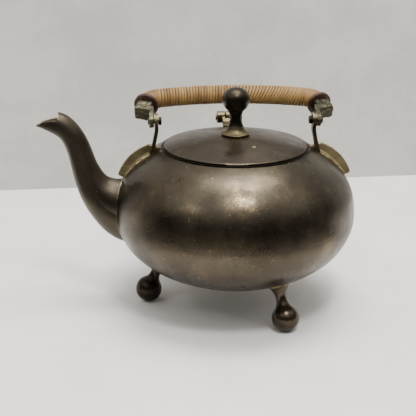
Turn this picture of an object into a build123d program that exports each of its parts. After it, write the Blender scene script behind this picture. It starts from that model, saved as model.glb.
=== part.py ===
from build123d import *
from math import cos, pi, radians, sin, sqrt
import os

# Small brass kettle-shaped teapot: squat round body, swan spout, domed hinged lid,
# cane-wrapped bail handle and three splayed ball feet. Millimetres, +Z up.
# The spout points to -X and the lid hinge is at +Y. The pot is drawn about its own
# upright axis and moved along X at the end, so the origin is under the middle of its box.

# Clearances
solder_gap = 0.05
running_clearance = 0.06
side_clearance = 0.3
seat_gap = 0.3

# Body: a bowl and a crown, brazed together under the belly
belly_radius = 80.0
belly_height = 67.0
bottom_rise = 48.5
crown_rise = 50.5
bottom_fullness = 2.15
crown_fullness = 2.25
body_wall = 1.2
outline_steps = 8

# Mouth of the body and its seat ring
mouth_radius = 49.0
ring_proud = 0.1
ring_flange = 1.2
ring_bore_radius = 43.5
ring_skirt_depth = 3.4
ring_skirt_wall = 1.2
lip_height = 0.7
lip_width = 0.9

# Lid
lid_radius = 47.4
lid_sheet = 1.0
lid_dome = 6.5
rolled_edge_radius = 0.9
collar_clearance = 0.6
collar_wall = 0.9
collar_depth = 4.6
vent_radius = 0.7
vent_place = (9.6, -24.6)

# Finial
finial_base_radius = 9.4
finial_bead = 0.6
finial_foot_height = 5.4
finial_seam_radius = 5.3
finial_neck_radius = 4.0
finial_neck_height = 11.1
finial_ball_radius = 9.1
finial_ball_height = 23.6
finial_ball_leave = 50.0
finial_height = 31.4
stud_radius = 1.5
stud_reach = 15.0
stud_end = 1.0
nut_across = 6.5
nut_height = 2.4

# Lid hinge
hinge_setback = 4.5
hinge_rise = 7.5
hinge_barrel_radius = 4.3
hinge_half_width = 8.6
hinge_pin_radius = 1.5
hinge_head_radius = 2.3
hinge_head_height = 0.8
stem_half_width = 2.6
arm_half_width = 5.0
strap_thickness = 1.6
strap_length = 10.0
strap_edge_inset = 1.0
strap_sink = 1.0
bracket_foot_half_width = 7.0
bracket_foot_length = 11.0
bracket_foot_thickness = 1.5
bracket_foot_setback = 2.0
stem_setback = 0.8
stem_depth = 7.0

# Spout: stations along its middle line, each with its place out from the belly and up
# from its height, half height across the line, half width along Y, and the direction in
# which the spout runs there, in degrees. The lip's edge is given out and up in the same way
spout_wall = 1.3
spout_length = 49.5
spout_stations = [
    (-8.0, -1.0, 22.6, 14.0, 180),
    (0.0, 1.2, 20.4, 12.8, 172),
    (8.5, 7.2, 16.6, 11.0, 165),
    (15.4, 18.0, 12.3, 9.4, 146),
    (19.4, 29.6, 9.1, 8.2, 122),
    (22.5, 41.6, 7.9, 7.5, 106),
    (27.2, 52.0, 7.5, 7.2, 121),
    (34.4, 58.8, 7.6, 6.6, 152),
    (41.6, 60.6, 6.0, 5.2, 168),
    (51.0, 61.2, 3.6, 2.6, 172),
]
lip_edge = [(34.6, 61.6), (39.5, 61.4), (44.6, 60.2), (51.0, 56.6)]
horn_place = 35.4
strainer_radius = 1.6
strainer_pitch = 6.2
strainer_rows = 5
strainer_columns = 3
strainer_cut_outside = 5.0
strainer_cut_inside = 15.0

# Ears: upright crescent plates on the shoulders
ear_thickness = 2.4
ear_inner = belly_radius - 23.6
ear_inner_height = belly_height + 45.0
ear_crest = (belly_radius - 11.4, belly_height + 38.2)
ear_tip = (belly_radius - 3.0, belly_height + 26.4)
ear_heel = (belly_radius - 4.4, belly_height + 23.2)
ear_root = (belly_radius - 14.0, belly_height + 17.0)
ear_nose_bulge = 1.2
ear_flange_half_width = 3.2
ear_flange_thickness = 1.1

# Posts that carry the handle pins
pin_rise = 17.9
post_width = 2.4
post_depth = 5.4
post_foot_place = 55.0
post_eye_place = 51.7
post_eye_radius = 5.0
post_straight = 6.7
post_bend_drop = 4.0
pin_radius = 1.6
pin_head_radius = 2.6
pin_head_height = 2.0
pin_tail_radius = 2.4
pin_tail_height = 0.8

# Handle, drawn upright over its pins and then leaned back
handle_lean = 17.7
handle_height = 34.5
arch_radius = 250.0
arch_half_angle = 11.6
bend_radius = 10.0
end_turn = 75.0
core_radius = 2.9
cane_radius = 1.8
cane_seat = 0.15
cane_turns = 24
cane_bend_pitch = 8.6
ring_radius = 8.3
ring_thickness = 2.6
ring_chamfer = 0.5
block_length = 11.0
block_width = 10.4
block_thickness = 9.0
block_corner = 1.6
lug_width = 3.2
lug_radius = 4.6
lug_reach = 13.0
core_socket_depth = 7.0

# Feet
foot_inset = 21.3
foot_ball_radius = 8.9
foot_ball_height = 8.7
foot_neck_radius = 3.4
foot_neck_rise = 12.6
foot_ball_cover = 48.0
foot_flare_radius = 8.4
foot_flare_reach = 4.5
foot_top_spare = 4.0
foot_lean = 22.0
foot_places = {"foot_spout": 180.0, "foot_front": -60.0, "foot_rear": 60.0}

# Places that follow from the sizes above
mouth_share = (mouth_radius / belly_radius) ** crown_fullness
mouth_height = belly_height + crown_rise * (1 - mouth_share) ** (1 / crown_fullness) + ring_proud
seam_height = belly_height - strainer_pitch / 2
hinge_back = mouth_radius + hinge_setback
hinge_height = mouth_height + hinge_rise
pin_height = mouth_height + pin_rise
foot_circle = belly_radius - foot_inset
foot_flare_rise = belly_height - bottom_rise + foot_flare_reach
spout_reach = belly_radius + spout_length
lid_underside = mouth_height + seat_gap
rolled_edge_place = lid_radius - rolled_edge_radius
rolled_edge_height = lid_underside + rolled_edge_radius
dome_edge_height = rolled_edge_height + rolled_edge_radius * 0.9
dome_top = dome_edge_height + lid_dome
dome_radius = (rolled_edge_place**2 + lid_dome**2) / (2 * lid_dome)
collar_radius = ring_bore_radius - collar_clearance
lug_inner = post_eye_place + post_width / 2 + side_clearance
pot_place = (spout_reach - belly_radius) / 2


def turned(points):
    """A solid turned about the upright axis from (radius, height) corners."""
    corners = [(r, 0, z) for r, z in points]
    return revolve(make_face(Polyline(*corners, close=True)), Axis.Z)


def body_outline(extra):
    """Half outline of the body, from the bottom pole round the belly to the top pole."""
    radius = belly_radius + extra
    low = bottom_rise + extra
    high = crown_rise + extra
    lower = []
    upper = []
    for step in range(outline_steps + 1):
        turn = radians(90 * step / outline_steps)
        out = max(cos(turn), 0)
        up = sin(turn)
        upper.append((radius * out ** (2 / crown_fullness), 0,
                      belly_height + high * up ** (2 / crown_fullness)))
        lower.append((radius * out ** (2 / bottom_fullness), 0,
                      belly_height - low * up ** (2 / bottom_fullness)))
    lower.reverse()
    belly = Spline(*lower, tangents=[(1, 0, 0), (0, 0, 1)])
    crown = Spline(*upper, tangents=[(0, 0, 1), (-1, 0, 0)])
    return belly, crown, Line(upper[-1], lower[0])


def body_solid(extra):
    """The body filled in, its surface moved out by extra."""
    return revolve(make_face(body_outline(extra)), Axis.Z)


def dome_height(radius):
    """Height of the lid's upper face at a distance from its middle."""
    return dome_top - dome_radius + sqrt(dome_radius**2 - radius**2)


def along_x(place, radius, start, end):
    """A round bar along X between two places, centred on (y, z)."""
    y, z = place
    middle = (start + end) / 2
    return Pos(middle, y, z) * Rot(0, 90, 0) * Cylinder(radius, abs(end - start))


def strainer_holes():
    """Pierced holes in the body's wall behind the spout."""
    holes = []
    outside = -belly_radius - strainer_cut_outside
    inside = -belly_radius + strainer_cut_inside
    for row in range(strainer_rows):
        height = belly_height + (row - (strainer_rows - 1) / 2) * strainer_pitch
        count = strainer_columns - row % 2
        for column in range(count):
            y = (column - (count - 1) / 2) * strainer_pitch
            holes.append(along_x((y, height), strainer_radius, outside, inside))
    return holes


def body_sheet():
    """The whole sheet body, open at the mouth and pierced behind the spout."""
    mouth = Pos(0, 0, belly_height + crown_rise) * Cylinder(mouth_radius, crown_rise)
    sheet = body_solid(0) - body_solid(-body_wall)
    sheet -= mouth
    return sheet - strainer_holes()


def beyond_seam(sign):
    """A block that takes in all of the body over or under its seam."""
    side = 4 * belly_radius
    return Pos(0, 0, seam_height + sign * (side + solder_gap) / 2) * Box(side, side, side)


def body_bowl():
    """Lower sheet of the body, from the bottom up to the seam."""
    return body_sheet() & beyond_seam(-1)


def body_crown():
    """Upper sheet of the body, from the seam to the mouth."""
    return body_sheet() & beyond_seam(1)


def mouth_ring():
    """Seat ring in the mouth: a flat flange with a skirt and a low outer lip."""
    outer = mouth_radius - solder_gap
    under = mouth_height - ring_flange
    return turned([
        (ring_bore_radius, under),
        (outer - ring_skirt_wall, under),
        (outer - ring_skirt_wall, under - ring_skirt_depth),
        (outer, under - ring_skirt_depth),
        (outer, mouth_height + lip_height),
        (outer - lip_width, mouth_height + lip_height),
        (outer - lip_width, mouth_height),
        (ring_bore_radius, mouth_height),
    ])


def rolled_edge(extra):
    """The round edge of the lid, its radius grown by extra."""
    roll = Plane.XZ * Circle(rolled_edge_radius + extra)
    return revolve(Pos(rolled_edge_place, 0, rolled_edge_height) * roll, Axis.Z)


def lid_plate():
    """Domed lid of sheet with a rolled edge and one steam hole."""
    edge = rolled_edge_place
    half = edge / 2
    middle = dome_height(half)
    top = ThreePointArc((0, 0, dome_top), (half, 0, middle), (edge, 0, dome_height(edge)))
    low = Pos(0, 0, -lid_sheet) * ThreePointArc(top @ 1, (half, 0, middle), top @ 0)
    side = Line(top @ 1, low @ 0)
    spine = Line(low @ 1, top @ 0)
    sheet = revolve(make_face([top, side, low, spine]), Axis.Z)
    plate = sheet + rolled_edge(0)
    plate -= Pos(0, 0, dome_top) * Cylinder(stud_radius + solder_gap, 6 * lid_sheet)
    return plate - Pos(*vent_place, dome_top) * Cylinder(vent_radius, 12 * lid_sheet)


def lid_collar():
    """Short tube under the lid that keeps it centred in the mouth."""
    inner = collar_radius - collar_wall
    low = mouth_height - collar_depth
    return turned([
        (inner, low),
        (collar_radius, low),
        (collar_radius, dome_height(collar_radius) - lid_sheet - solder_gap),
        (inner, dome_height(inner) - lid_sheet - solder_gap),
    ])


def finial_foot():
    """Flared base of the finial, with a bead at its edge."""
    base = dome_top + solder_gap
    bead = finial_base_radius - finial_bead
    seam = finial_seam_radius
    rise = finial_foot_height
    step = (bead, 0, base + 2 * finial_bead)
    edge = ThreePointArc((bead, 0, base), (finial_base_radius, 0, base + finial_bead), step)
    flare = ThreePointArc(step, (seam + finial_bead * 2, 0, base + rise / 2), (seam, 0, base + rise))
    back = Polyline((seam, 0, base + rise), (0, 0, base + rise), (0, 0, base), (bead, 0, base))
    foot = revolve(make_face([edge, flare] + back.edges()), Axis.Z)
    return foot - Pos(0, 0, base + rise / 2) * Cylinder(stud_radius + solder_gap, 2 * rise)


def finial_knob():
    """Turned knob: a waist that swells into a round ball, a little flat on top."""
    base = dome_top + finial_foot_height + 2 * solder_gap
    top = dome_top + finial_height
    middle = dome_top + finial_ball_height
    neck = (finial_neck_radius, 0, dome_top + finial_neck_height)
    seam = (finial_seam_radius, 0, base)
    leave = radians(finial_ball_leave)
    out = finial_ball_radius
    shoulder = (out * cos(leave), 0, middle - out * sin(leave))
    half_way = (out * cos(leave / 2), 0, middle - out * sin(leave / 2))
    upper = (out * cos(pi / 4), 0, middle + (top - middle) * sin(pi / 4))
    waist = Spline(seam, neck, tangents=[(-1, 0, 2), (0, 0, 1)])
    swell = Spline(neck, shoulder, tangents=[(0, 0, 1), (sin(leave), 0, cos(leave))])
    belly = ThreePointArc(shoulder, half_way, (out, 0, middle))
    crown = Spline((out, 0, middle), upper, (0, 0, top), tangents=[(0, 0, 1), (-1, 0, 0)])
    closing = Polyline((0, 0, top), (0, 0, base), seam)
    knob = revolve(make_face([waist, swell, belly, crown] + closing.edges()), Axis.Z)
    bore = stud_reach + stud_radius - finial_foot_height
    return knob - Pos(0, 0, base + bore / 2) * Cylinder(stud_radius + solder_gap, bore)


def finial_stud():
    """Stud that draws the knob and its foot down on the lid."""
    low = dome_top - lid_sheet - nut_height - stud_end
    high = dome_top + stud_reach
    return Pos(0, 0, (low + high) / 2) * Cylinder(stud_radius, high - low)


def finial_nut():
    """Six-sided nut under the lid."""
    height = dome_top - lid_sheet - solder_gap - nut_height
    outline = RegularPolygon(nut_across / sqrt(3), 6) - Circle(stud_radius + solder_gap)
    return Pos(0, 0, height) * extrude(outline, nut_height)


def hinge_axis():
    """The (y, z) place of the lid hinge's pin."""
    return hinge_back, hinge_height


def hinge_bore(half_width, clearance):
    """A bore along X through a knuckle."""
    return along_x(hinge_axis(), hinge_pin_radius + clearance, -half_width - 1, half_width + 1)


def hinge_bracket():
    """Upright stem with an eye, on a foot shaped to the body behind the mouth."""
    half = stem_half_width
    foot_middle = hinge_back + bracket_foot_setback
    column = Box(2 * bracket_foot_half_width, bracket_foot_length, hinge_height)
    column = Pos(0, foot_middle, hinge_height / 2 + belly_height) * column
    near_mouth = Pos(0, 0, mouth_height) * Cylinder(mouth_radius + side_clearance, hinge_rise)
    foot = column & body_solid(bracket_foot_thickness)
    stem = Box(2 * half, stem_depth, hinge_height - belly_height)
    stem = Pos(0, hinge_back + stem_setback, (hinge_height + belly_height) / 2) * stem
    eye = along_x(hinge_axis(), hinge_barrel_radius, -half, half)
    bracket = foot + stem + eye
    bracket -= body_solid(solder_gap)
    bracket -= near_mouth
    return bracket - hinge_bore(half, running_clearance)


def hinge_strap():
    """Lid leaf: a strap on the dome that forks into two knuckles."""
    slot = stem_half_width + side_clearance
    front = rolled_edge_place - strap_length
    rear = rolled_edge_place - strap_edge_inset
    low = dome_height(rear) - strap_sink
    knuckle_front = hinge_back - strap_edge_inset
    side = [
        (front, low),
        (front, dome_height(front) + strap_thickness * 0.8),
        (rear, dome_height(front) + strap_thickness),
        (knuckle_front, hinge_height + hinge_barrel_radius * 0.7),
        (knuckle_front, hinge_height - hinge_barrel_radius * 0.4),
        (rear, low),
    ]
    face = make_face(Polyline(*[(0, y, z) for y, z in side], close=True))
    strap = extrude(face, arm_half_width, dir=(1, 0, 0), both=True)
    for sign in (-1, 1):
        strap += along_x(hinge_axis(), hinge_barrel_radius, sign * slot, sign * hinge_half_width)
    clear_reach = hinge_barrel_radius + side_clearance
    strap -= along_x(hinge_axis(), clear_reach, -slot, slot)
    below = Box(2 * slot, 2 * clear_reach, 4 * hinge_barrel_radius)
    strap -= Pos(0, hinge_back, hinge_height - 2 * hinge_barrel_radius) * below
    strap -= Pos(0, 0, dome_top - dome_radius + solder_gap) * Sphere(dome_radius)
    strap -= rolled_edge(solder_gap)
    return strap - hinge_bore(hinge_half_width, solder_gap)


def hinge_pin():
    """Hinge pin with a small head at each end."""
    end = hinge_half_width + solder_gap
    pin = along_x(hinge_axis(), hinge_pin_radius, -end, end)
    for sign in (-1, 1):
        pin += along_x(hinge_axis(), hinge_head_radius, sign * end, sign * (end + hinge_head_height))
    return pin


def spout_place(out, up):
    """A point on the spout's middle plane, out from the belly and up from its height."""
    return -belly_radius - out, 0, belly_height + up


def spout_section(station, wall):
    """One oval section of the spout in four arcs, its wall taken off for the bore."""
    out, up, half_height, half_width, heading = station
    run = (cos(radians(heading)), 0, sin(radians(heading)))
    plane = Plane(origin=spout_place(out, up), x_dir=(0, 1, 0), z_dir=run)
    corners = []
    for step in range(9):
        turn = radians(45 * step)
        corners.append(((half_width - wall) * cos(turn), (half_height - wall) * sin(turn)))
    arcs = [ThreePointArc(*corners[start:start + 3]) for start in (0, 2, 4, 6)]
    return plane * make_face(arcs)


def spout():
    """Hollow swan spout with an open lip and a small horn over it."""
    outside = loft([spout_section(station, 0) for station in spout_stations])
    bore = loft([spout_section(station, spout_wall) for station in spout_stations])
    edge = Spline(*[spout_place(out, up) for out, up in lip_edge])
    high = crown_rise + handle_height
    outer = spout_place(lip_edge[-1][0], high)
    inner = spout_place(horn_place, high)
    opening = make_face([edge] + Polyline(edge @ 1, outer, inner, edge @ 0).edges())
    cutter = extrude(opening, belly_radius / 2, dir=(0, 1, 0), both=True)
    side = 2 * belly_radius
    beyond = Pos(-spout_reach - side / 2, 0, belly_height + high) * Box(side, side, side)
    return outside - bore - body_solid(solder_gap) - cutter - beyond


def ear(side):
    """Upright crescent plate on the shoulder, with a narrow flange along the body."""
    start = (ear_inner, 0, ear_inner_height)
    tip = (ear_tip[0], 0, ear_tip[1])
    heel = (ear_heel[0], 0, ear_heel[1])
    bulge = ((tip[0] + heel[0]) / 2 + ear_nose_bulge, 0, (tip[2] + heel[2]) / 2)
    crest = ThreePointArc(start, (ear_crest[0], 0, ear_crest[1]), tip)
    nose = ThreePointArc(tip, bulge, heel)
    root = Polyline(heel, (ear_root[0], 0, ear_root[1]), (ear_inner, 0, ear_root[1]), start)
    web = extrude(make_face([crest, nose] + root.edges()), ear_thickness / 2, dir=(0, 1, 0), both=True)
    span = ear_heel[0] - ear_inner
    flange = Box(span, 2 * ear_flange_half_width, crown_rise)
    flange = Pos(ear_inner + span / 2, 0, ear_heel[1] + crown_rise / 2) * flange
    plate = web + (flange & body_solid(ear_flange_thickness))
    plate -= body_solid(solder_gap)
    return plate if side > 0 else mirror(plate, Plane.YZ)


def post(side):
    """Flat bar that leans inward from the shoulder and ends in an eye for the pin."""
    half = post_width / 2
    bend_height = mouth_height - post_bend_drop
    straight_height = pin_height - post_straight
    outer = [(post_foot_place, ear_root[1]), (post_foot_place, bend_height),
             (post_eye_place, straight_height), (post_eye_place, pin_height)]
    corners = [(x + half, 0, z) for x, z in outer] + [(x - half, 0, z) for x, z in reversed(outer)]
    bar = extrude(make_face(Polyline(*corners, close=True)), post_depth / 2, dir=(0, 1, 0), both=True)
    bar += along_x((0, pin_height), post_eye_radius, post_eye_place - half, post_eye_place + half)
    hole_start = post_eye_place - post_width
    hole_end = post_eye_place + post_width
    bar -= along_x((0, pin_height), pin_radius + running_clearance, hole_start, hole_end)
    bar -= body_solid(solder_gap)
    return bar if side > 0 else mirror(bar, Plane.YZ)


def upright_to_place(shape):
    """Move a handle piece from its upright drawing to the leaned-back pose."""
    return Pos(0, 0, pin_height) * Rot(handle_lean - 90, 0, 0) * shape


def arch_end():
    """Where the long arch meets the end bend, as (x, height)."""
    turn = radians(arch_half_angle)
    return arch_radius * sin(turn), handle_height - arch_radius * (1 - cos(turn))


def bend_end():
    """Where the end bend stops, as (x, height)."""
    x, height = arch_end()
    first = radians(arch_half_angle)
    last = radians(end_turn)
    return x + bend_radius * (sin(last) - sin(first)), height - bend_radius * (cos(first) - cos(last))


def end_place(distance):
    """A plane on the handle's end line, distance past the bend, its normal along the line."""
    x, height = bend_end()
    run = (cos(radians(end_turn)), 0, -sin(radians(end_turn)))
    origin = (x + run[0] * distance, 0, height + run[2] * distance)
    return Plane(origin=origin, x_dir=(0, 1, 0), z_dir=run)


def handle_core():
    """Round rod bent to the handle's arch, its ends let into the end blocks."""
    depth = ring_thickness + core_socket_depth
    right = arch_end()
    low = bend_end()
    tip = end_place(depth).origin
    first = radians(arch_half_angle)
    half_turn = (first + radians(end_turn)) / 2
    centre = (right[0] - bend_radius * sin(first), right[1] - bend_radius * cos(first))
    middle = (centre[0] + bend_radius * sin(half_turn), centre[1] + bend_radius * cos(half_turn))
    path = []
    for sign in (-1, 1):
        start, half_way, end = [(sign * x, 0, z) for x, z in (right, middle, low)]
        path += [ThreePointArc(start, half_way, end), Line(end, (sign * tip.X, 0, tip.Z))]
    arch = ThreePointArc((-right[0], 0, right[1]), (0, 0, handle_height), (right[0], 0, right[1]))
    wire = Wire([path[1], path[0], arch, path[2], path[3]])
    start = Plane(origin=wire @ 0, z_dir=wire % 0)
    return sweep(start * Circle(core_radius), path=wire)


def handle_line(distance):
    """Point, direction and outward normal on the handle's line, and its bend, from the apex."""
    flat = radians(arch_half_angle) * arch_radius
    sign = -1 if distance < 0 else 1
    along = abs(distance)
    if along <= flat:
        radius = arch_radius
        turn = along / arch_radius
        centre = (0.0, handle_height - arch_radius)
    else:
        radius = bend_radius
        turn = radians(arch_half_angle) + (along - flat) / bend_radius
        x, height = arch_end()
        first = radians(arch_half_angle)
        centre = (x - bend_radius * sin(first), height - bend_radius * cos(first))
    normal = Vector(sign * sin(turn), 0, cos(turn))
    point = Vector(sign * centre[0], 0, centre[1]) + normal * radius
    run = Vector(cos(turn), 0, -sign * sin(turn))
    return point, run, normal, 1 / radius


def cane_half_turns():
    """Distances along the handle's line at each half turn of the cane, even on the arch."""
    flat = radians(arch_half_angle) * arch_radius
    bend = radians(end_turn - arch_half_angle) * bend_radius
    end = flat + bend - cane_radius - side_clearance
    turns_each_bend = (end - flat) / cane_bend_pitch
    arch_pitch = 2 * flat / (cane_turns - 2 * turns_each_bend)
    places = []
    for step in range(2 * cane_turns + 1):
        turns = abs(step / 2 - cane_turns / 2)
        on_arch = min(turns, flat / arch_pitch)
        distance = on_arch * arch_pitch + (turns - on_arch) * cane_bend_pitch
        local = arch_pitch if turns <= flat / arch_pitch else cane_bend_pitch
        places.append((distance if step >= cane_turns else -distance, local))
    return places


def biarc(start, start_run, end, end_run):
    """Two tangent arcs between two points with given directions."""
    gap = end - start
    square = 2 * (1 - start_run.dot(end_run))
    straight = 2 * gap.dot(start_run + end_run)
    reach = (sqrt(straight**2 + 4 * square * gap.dot(gap)) - straight) / (2 * square)
    first = start + start_run * reach
    last = end - end_run * reach
    joint = (first + last) * 0.5
    return [TangentArc(start, joint, tangent=start_run), TangentArc(joint, end, tangent=last - first)]


def cane_edges():
    """The cane's middle line: half turns round the core, each a pair of tangent arcs."""
    reach = core_radius + cane_radius + cane_seat
    knots = []
    for step, (distance, pitch) in enumerate(cane_half_turns()):
        point, run, normal, bend = handle_line(distance)
        sign = 1 if step % 2 == 0 else -1
        across = Vector(0, 1, 0)
        place = point + normal * (sign * reach)
        heading = run * (1 + sign * reach * bend) + across * (sign * reach * 2 * pi / pitch)
        knots.append((place, heading.normalized()))
    edges = []
    for (start, start_run), (end, end_run) in zip(knots, knots[1:]):
        edges += biarc(start, start_run, end, end_run)
    return edges


def least_turn_gap(edges):
    """Smallest space between neighbouring turns, measured on points of the middle line."""
    points = []
    for edge in edges:
        points += [edge @ (step / 8) for step in range(8)]
    half_loop = 16 * 3 // 2
    nearest = min(
        (points[i] - points[j]).length
        for i in range(len(points))
        for j in range(i + half_loop, min(i + 3 * half_loop, len(points)))
    )
    return nearest - 2 * cane_radius


def cane_wrap():
    """The cane: one unbroken strand wound round the core."""
    edges = cane_edges()
    print("cane: least gap between turns", round(least_turn_gap(edges), 2))
    wire = Wire(edges)
    start = Plane(origin=wire @ 0, z_dir=wire % 0)
    return sweep(start * Circle(cane_radius), path=wire)


def end_ring(side):
    """Collar that closes the end of the cane."""
    outline = Circle(ring_radius) - Circle(core_radius + solder_gap)
    ring = extrude(end_place(0) * outline, ring_thickness)
    rims = ring.edges().filter_by(GeomType.CIRCLE).group_by(SortBy.RADIUS)[-1]
    ring = chamfer(rims, ring_chamfer)
    return ring if side > 0 else mirror(ring, Plane.YZ)


def handle_end(side):
    """Cast end: a block that takes the rod, and a lug with the pin's hole."""
    start = ring_thickness + solder_gap
    outline = Rectangle(block_thickness, block_width)
    block = extrude(end_place(start) * outline, block_length)
    long_edges = block.edges().filter_by(lambda edge: abs(edge.length - block_length) < 0.01)
    block = fillet(long_edges, block_corner)
    plate = Box(lug_width, 2 * lug_radius, lug_reach)
    lug = Pos(lug_inner + lug_width / 2, 0, lug_reach / 2) * plate
    lug += along_x((0, 0), lug_radius, lug_inner, lug_inner + lug_width)
    casting = block + lug
    casting -= along_x((0, 0), pin_radius + solder_gap, lug_inner - 1, lug_inner + lug_width + 1)
    casting -= extrude(end_place(0) * Circle(core_radius + solder_gap), start + core_socket_depth + solder_gap)
    return casting if side > 0 else mirror(casting, Plane.YZ)


def handle_pin(side):
    """Rivet that joins a handle lug to its post."""
    inner_face = post_eye_place - post_width / 2 - side_clearance / 2
    outer_face = lug_inner + lug_width + solder_gap
    pin = along_x((0, pin_height), pin_radius, inner_face, outer_face)
    pin += along_x((0, pin_height), pin_head_radius, inner_face - pin_head_height, inner_face)
    pin += along_x((0, pin_height), pin_tail_radius, outer_face, outer_face + pin_tail_height)
    return pin if side > 0 else mirror(pin, Plane.YZ)


def foot(angle):
    """Ball foot on a waisted leg that leans in to the body, flat where it stands."""
    neck = foot_neck_rise
    flare = foot_flare_rise
    leave = radians(foot_ball_cover)
    ball_top = (foot_ball_radius * cos(leave), foot_ball_radius * sin(leave))
    ball = ThreePointArc((0, 0, -foot_ball_radius), (foot_ball_radius, 0, 0), (ball_top[0], 0, ball_top[1]))
    leg = Spline(
        (ball_top[0], 0, ball_top[1]), (foot_neck_radius, 0, neck), (foot_flare_radius, 0, flare),
        tangents=[(-sin(leave), 0, cos(leave)), (0.9, 0, 1)],
    )
    top = flare + foot_top_spare
    closing = Polyline((foot_flare_radius, 0, flare), (foot_flare_radius, 0, top), (0, 0, top),
                       (0, 0, -foot_ball_radius))
    turned_foot = revolve(make_face([ball, leg] + closing.edges()), Axis.Z)
    placed = Pos(foot_circle, 0, foot_ball_height) * Rot(0, -foot_lean, 0) * turned_foot
    placed -= body_solid(solder_gap)
    side = 4 * foot_ball_radius
    floor = Pos(foot_circle, 0, -side / 2) * Box(side, side, side)
    return Rot(0, 0, angle) * (placed - floor)


def build_nodes():
    """Every sub-part by its node name, placed about the pot's axis."""
    nodes = {
        "body_bowl": body_bowl(),
        "body_crown": body_crown(),
        "mouth_ring": mouth_ring(),
        "lid_plate": lid_plate(),
        "lid_collar": lid_collar(),
        "finial_foot": finial_foot(),
        "finial_knob": finial_knob(),
        "finial_stud": finial_stud(),
        "finial_nut": finial_nut(),
        "hinge_bracket": hinge_bracket(),
        "hinge_strap": hinge_strap(),
        "hinge_pin": hinge_pin(),
        "spout": spout(),
        "handle_core": upright_to_place(handle_core()),
        "cane_wrap": upright_to_place(cane_wrap()),
    }
    for name, side in (("left", -1), ("right", 1)):
        nodes["ear_" + name] = ear(side)
        nodes["post_" + name] = post(side)
        nodes["handle_pin_" + name] = handle_pin(side)
        nodes["handle_end_" + name] = upright_to_place(handle_end(side))
        nodes["end_ring_" + name] = upright_to_place(end_ring(side))
    for name, angle in foot_places.items():
        nodes[name] = foot(angle)
    return nodes


os.makedirs("parts", exist_ok=True)
for name, shape in build_nodes().items():
    placed = Pos(pot_place, 0, 0) * shape
    export_step(placed, f"parts/{name}.step")
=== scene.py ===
import math
import random

import bpy
from mathutils import Matrix, Vector, noise
from mathutils.bvhtree import BVHTree


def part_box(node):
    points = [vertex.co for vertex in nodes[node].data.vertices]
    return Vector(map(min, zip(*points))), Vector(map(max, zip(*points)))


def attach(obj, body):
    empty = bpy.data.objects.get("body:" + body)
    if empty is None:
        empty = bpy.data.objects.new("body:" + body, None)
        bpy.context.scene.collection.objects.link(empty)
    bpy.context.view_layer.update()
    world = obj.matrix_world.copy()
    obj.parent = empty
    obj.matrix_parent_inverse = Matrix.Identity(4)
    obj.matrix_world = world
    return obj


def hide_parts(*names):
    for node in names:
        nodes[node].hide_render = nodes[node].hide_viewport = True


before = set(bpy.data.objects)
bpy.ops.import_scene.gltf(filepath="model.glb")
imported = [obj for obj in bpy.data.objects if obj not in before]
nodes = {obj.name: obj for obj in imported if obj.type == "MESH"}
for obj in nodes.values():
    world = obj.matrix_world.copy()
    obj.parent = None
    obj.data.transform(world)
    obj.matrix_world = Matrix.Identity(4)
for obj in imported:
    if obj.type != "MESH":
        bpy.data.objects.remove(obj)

MM = 0.001
TURN = 2 * math.pi
DOWN = Vector((0, 0, -1))
BACKWARD = Vector((0, 1, 0))
SIDES = (("left", -1), ("right", 1))
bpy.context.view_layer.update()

# The camera: where the photograph was taken from, and its axes.
PHOTO_SIDE = 416
FOCAL_PIXELS = 883.6
SENSOR_WIDTH = 36.0
CLIP_START = 0.01
EYE = Vector((-0.02785, -0.5622, 0.2629))
EYE_RIGHT = Vector((0.9982, -0.0602, 0.0042))
EYE_UP = Vector((0.0158, 0.3284, 0.9444))
EYE_FORWARD = Vector((0.0583, 0.9426, -0.3288))

# Places in the photograph, in its pixels.
WALL_FOOT_PIXELS = ((0.0, 190.5), (415.0, 175.0))
MAIN_GLINT_PIXEL = (245.0, 203.0)
SIDE_GLINT_PIXEL = (190.0, 207.0)
SPECKLED_PIXEL = (243.0, 200.0)
BRIGHT_EAR_PIXEL = (150.0, 154.0)

# Colours of the metals, as linear values: dark, middle and worn.
BODY_DARK = (0.056, 0.046, 0.033)
BODY_MID = (0.102, 0.084, 0.059)
BODY_WORN = (0.40, 0.30, 0.15)
SPOUT_DARK = (0.048, 0.040, 0.029)
SPOUT_MID = (0.088, 0.073, 0.053)
SPOUT_WORN = (0.34, 0.27, 0.15)
# Painted light inside the spout's lip: a pale colour where little light reaches.
INNER_LIP_PAINTED_LIGHT = (0.34, 0.29, 0.21)
TRIM_DARK = (0.12, 0.095, 0.052)
TRIM_MID = (0.27, 0.212, 0.115)
TRIM_WORN = (0.62, 0.49, 0.26)
EAR_DARK = (0.15, 0.118, 0.062)
EAR_MID = (0.37, 0.295, 0.16)
EAR_WORN = (0.70, 0.56, 0.30)
KNOB_DARK = (0.028, 0.022, 0.016)
KNOB_MID = (0.078, 0.062, 0.043)
KNOB_WORN = (0.25, 0.19, 0.10)
CAST_DARK = (0.055, 0.052, 0.034)
CAST_MID = (0.155, 0.146, 0.098)
CAST_WORN = (0.46, 0.38, 0.21)
POST_DARK = (0.065, 0.052, 0.030)
POST_MID = (0.19, 0.15, 0.085)
POST_WORN = (0.50, 0.39, 0.21)
PIN_DARK = (0.010, 0.009, 0.008)
PIN_MID = (0.040, 0.034, 0.026)
PIN_WORN = (0.20, 0.16, 0.10)
# The mouth ring's colours are painted shade, dark for the gap between the lid and the body.
RING_PAINTED_SHADE_DARK = (0.012, 0.010, 0.008)
RING_PAINTED_SHADE_MID = (0.035, 0.028, 0.020)
RING_PAINTED_SHADE_WORN = (0.16, 0.125, 0.075)
BRAZING_DARK = (0.20, 0.15, 0.085)
BRAZING_BRIGHT = (0.74, 0.60, 0.34)
SEAM_DARK = (0.13, 0.10, 0.055)
SEAM_BRIGHT = (0.42, 0.32, 0.16)

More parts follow.
